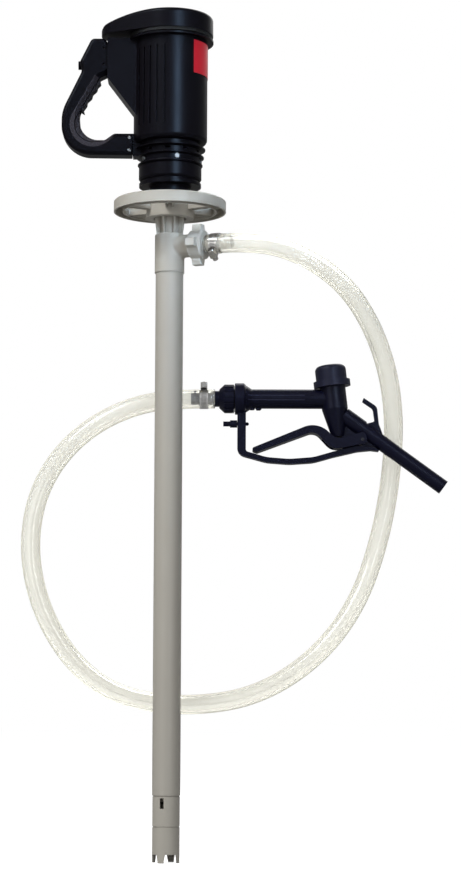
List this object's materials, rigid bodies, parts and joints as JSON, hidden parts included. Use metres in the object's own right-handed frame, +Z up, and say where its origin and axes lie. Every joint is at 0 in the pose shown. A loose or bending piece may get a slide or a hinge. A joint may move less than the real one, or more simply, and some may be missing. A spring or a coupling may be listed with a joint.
{
  "type": "drum pump",
  "caption": "Upright electric drum pump: motor with a D handle and trigger, hand wheel, long suction tube with an open foot, clear looped hose and a hand lever nozzle.",
  "frame": {"origin": "on the drum tube's axis, where the tube leaves the underside of the discharge head", "axes": "+Z up the tube's axis to the motor, +X to the side of the outlet and nozzle, -Y to the front that the picture shows"},
  "size_m": [0.6379, 0.2135, 1.2605],
  "materials": {
    "pump_grey": "satin",
    "fitting_white": "satin",
    "hose_clear": "gloss",
    "motor_black": "satin",
    "nozzle_black": "satin",
    "label_red": "gloss",
    "stainless": "satin",
    "machine_steel": "satin",
    "copper": "satin",
    "carbon": "matt",
    "seal_rubber": "matt",
    "inner_plastic": "satin"
  },
  "bodies": {
    "pump_frame": {"outer_tube": "pump_grey", "bearing_tube": "pump_grey", "pump_housing": "pump_grey", "foot_cage": "pump_grey", "discharge_head": "pump_grey", "outlet_hose_tail": "fitting_white", "hose": "hose_clear", "lower_collar": "motor_black", "vent_neck": "motor_black", "motor_housing": "motor_black", "top_cover": "motor_black", "handle_front_shell": "motor_black", "handle_rear_shell": "motor_black", "cable_gland": "motor_black", "nozzle_hose_tail": "nozzle_black", "casing_label": "label_red", "outlet_clamp_band": "stainless", "outlet_clamp_housing": "stainless", "outlet_clamp_screw": "stainless", "nozzle_clamp_band": "stainless", "nozzle_clamp_housing": "stainless", "nozzle_clamp_screw": "stainless", "neck_screws": "stainless", "handle_screws": "stainless", "lower_bearing": "machine_steel", "upper_bearing": "machine_steel", "stator": "machine_steel", "brush_holders": "copper", "carbon_brushes": "carbon", "outlet_seal": "seal_rubber", "shaft_seal": "seal_rubber", "cover_seal": "seal_rubber", "shaft_bushes": "inner_plastic", "bearing_bracket": "inner_plastic", "switch_block": "inner_plastic"},
    "rotor": {"motor_shaft": "machine_steel", "rotor_core": "machine_steel", "commutator": "copper", "cooling_fan": "inner_plastic", "drive_coupling": "seal_rubber", "pump_coupling": "inner_plastic", "pump_shaft": "stainless", "impeller": "inner_plastic"},
    "wheel": {"hand_wheel": "pump_grey"},
    "outlet_nut": {"wing_nut": "fitting_white"},
    "nozzle": {"nozzle_body": "nozzle_black", "nozzle_cap": "nozzle_black", "swivel_nut": "nozzle_black", "swivel_seal": "seal_rubber", "stem_seal": "seal_rubber", "lever_pin": "stainless", "lever_guard": "nozzle_black", "spout": "nozzle_black"},
    "nozzle_lever": {"lever": "nozzle_black"},
    "valve": {"valve_stem": "stainless", "valve_disc": "seal_rubber", "valve_spring": "stainless"},
    "latch": {"latch_pin": "nozzle_black"},
    "trigger": {"switch_trigger": "motor_black"}
  },
  "joints": [
    {"name": "rotor_spin", "type": "hinge", "parent": "pump_frame", "child": "rotor", "pos_m": [0, 0, 0.2], "axis": [0, 0, 1], "continuous": true},
    {"name": "wheel_turn", "type": "hinge", "parent": "pump_frame", "child": "wheel", "pos_m": [0, 0, 0.1], "axis": [0, 0, 1], "range_deg": [0, 540]},
    {"name": "outlet_nut_turn", "type": "hinge", "parent": "pump_frame", "child": "outlet_nut", "pos_m": [0, 0, 0.039], "axis": [0.9063, -0.4226, 0], "range_deg": [0, 540]},
    {"name": "nozzle_swivel", "type": "hinge", "parent": "pump_frame", "child": "nozzle", "pos_m": [0.0455, 0.062, -0.1797], "axis": [-1, 0, 0], "range_deg": [-10, 90]},
    {"name": "lever_pull", "type": "hinge", "parent": "nozzle", "child": "nozzle_lever", "pos_m": [0.289, 0.062, -0.2417], "axis": [0, 1, 0], "range_deg": [0, 10], "stiffness_Nm_per_rad": 3},
    {"name": "valve_lift", "type": "slide", "parent": "nozzle", "child": "valve", "axis": [-0.1132, 0, 0.9936], "range_m": [0, 0.0068], "deforming": ["valve_spring"]},
    {"name": "latch_pull", "type": "slide", "parent": "nozzle", "child": "latch", "axis": [-1, 0, 0], "range_m": [0, 0.005], "stiffness_N_per_m": 200},
    {"name": "trigger_press", "type": "slide", "parent": "pump_frame", "child": "trigger", "axis": [-0.8794, 0, 0.4762], "range_m": [0, 0.004], "stiffness_N_per_m": 400}
  ],
  "couplings": [
    {"joint": "valve_lift", "follows": "lever_pull", "m_per_rad": 0.0384}
  ]
}
